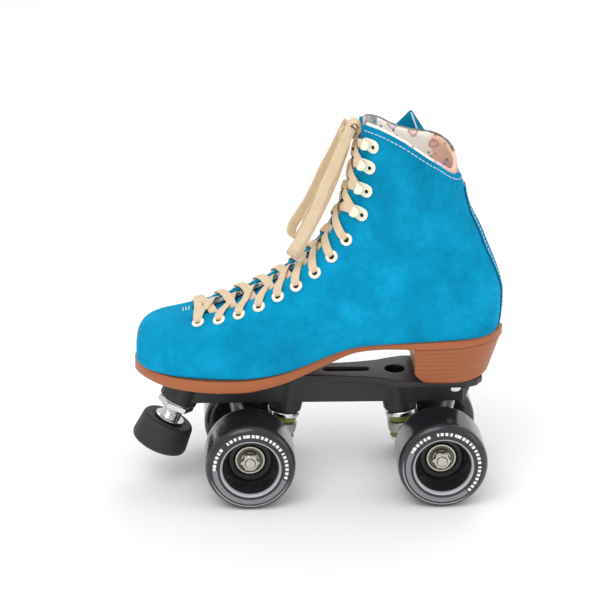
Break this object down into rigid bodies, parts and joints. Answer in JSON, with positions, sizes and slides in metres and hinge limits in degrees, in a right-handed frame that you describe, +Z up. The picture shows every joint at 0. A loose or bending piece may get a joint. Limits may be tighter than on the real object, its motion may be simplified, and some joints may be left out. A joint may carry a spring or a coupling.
{
  "type": "quad roller skate",
  "caption": "High-top suede lace-up roller skate boot on a nylon plate with two sprung trucks, wheels on bearings and a screw-in toe stop.",
  "frame": {"origin": "on the floor under the middle of the skate's bounding box without the free laces", "axes": "+Z up, toe towards -X, heel towards +X, outer (left) side of the boot towards -Y"},
  "size_m": [0.271, 0.1204, 0.2757],
  "materials": {
    "suede": "blue suede",
    "suede_trim": "darker blue suede",
    "lining": null,
    "insole": "woven",
    "sole_leather": "tan, stacked layers at the heel",
    "lace": "flat woven cotton",
    "enamel": "cream enamel",
    "nylon": "black moulded nylon",
    "stop_rubber": "black",
    "cushion": "olive urethane",
    "casting": "tumbled casting",
    "chrome": "bright plated steel",
    "acetal": "natural",
    "urethane": "gloss black urethane",
    "core": "black nylon core",
    "bearing": "warm steel"
  },
  "bodies": {
    "boot_and_plate": {"upper": "suede", "tongue": "suede", "backstay": "suede_trim", "pull_loop": "suede_trim", "lining": "lining", "insole": "insole", "outsole": "sole_leather", "heel_block": "sole_leather", "lace_rows": "lace", "bow_knot": "lace", "bow_loop_left": "lace", "bow_loop_right": "lace", "lace_end_left": "lace", "lace_end_right": "lace", "eyelets_left": "enamel", "eyelets_right": "enamel", "plate": "nylon", "front_upper_cushion": "cushion", "front_lower_cushion": "cushion", "rear_upper_cushion": "cushion", "rear_lower_cushion": "cushion", "mounting_bolt_1": "chrome", "mounting_bolt_2": "chrome", "mounting_bolt_3": "chrome", "mounting_bolt_4": "chrome", "front_kingpin": "chrome", "rear_kingpin": "chrome", "front_upper_retainer": "chrome", "front_lower_retainer": "chrome", "rear_upper_retainer": "chrome", "rear_lower_retainer": "chrome", "toe_stop_jam_nut": "chrome", "front_pivot_cup": "acetal", "rear_pivot_cup": "acetal"},
    "front_truck": {"front_hanger": "casting", "front_axle": "bearing", "front_left_axle_nut": "bearing", "front_right_axle_nut": "bearing"},
    "front_left_wheel": {"front_left_tyre": "urethane", "front_left_hub": "core", "front_left_inner_bearing": "bearing", "front_left_outer_bearing": "bearing"},
    "front_right_wheel": {"front_right_tyre": "urethane", "front_right_hub": "core", "front_right_inner_bearing": "bearing", "front_right_outer_bearing": "bearing"},
    "rear_truck": {"rear_hanger": "casting", "rear_axle": "bearing", "rear_left_axle_nut": "bearing", "rear_right_axle_nut": "bearing"},
    "rear_left_wheel": {"rear_left_tyre": "urethane", "rear_left_hub": "core", "rear_left_inner_bearing": "bearing", "rear_left_outer_bearing": "bearing"},
    "rear_right_wheel": {"rear_right_tyre": "urethane", "rear_right_hub": "core", "rear_right_inner_bearing": "bearing", "rear_right_outer_bearing": "bearing"},
    "toe_stop": {"toe_stop_rubber": "stop_rubber", "toe_stop_stem": "chrome"}
  },
  "joints": [
    {"name": "front_truck_steer", "type": "hinge", "parent": "boot_and_plate", "child": "front_truck", "pos_m": [-0.02652, 0, 0.042], "axis": [-0.8251, 0, 0.565], "range_deg": [-8, 8], "stiffness_Nm_per_rad": 22, "deforming": ["front_upper_cushion", "front_lower_cushion"]},
    {"name": "front_left_wheel_spin", "type": "hinge", "parent": "front_truck", "child": "front_left_wheel", "pos_m": [-0.05032, -0.0402, 0.0325], "axis": [0, 1, 0], "continuous": true},
    {"name": "front_right_wheel_spin", "type": "hinge", "parent": "front_truck", "child": "front_right_wheel", "pos_m": [-0.05032, 0.0402, 0.0325], "axis": [0, 1, 0], "continuous": true},
    {"name": "rear_truck_steer", "type": "hinge", "parent": "boot_and_plate", "child": "rear_truck", "pos_m": [0.06448, 0, 0.042], "axis": [0.8251, 0, 0.565], "range_deg": [-8, 8], "stiffness_Nm_per_rad": 22, "deforming": ["rear_upper_cushion", "rear_lower_cushion"]},
    {"name": "rear_left_wheel_spin", "type": "hinge", "parent": "rear_truck", "child": "rear_left_wheel", "pos_m": [0.08828, -0.0402, 0.0325], "axis": [0, 1, 0], "continuous": true},
    {"name": "rear_right_wheel_spin", "type": "hinge", "parent": "rear_truck", "child": "rear_right_wheel", "pos_m": [0.08828, 0.0402, 0.0325], "axis": [0, 1, 0], "continuous": true},
    {"name": "toe_stop_height", "type": "slide", "parent": "boot_and_plate", "child": "toe_stop", "axis": [0.3987, 0, 0.9171], "range_m": [-0.006, 0.006]}
  ]
}
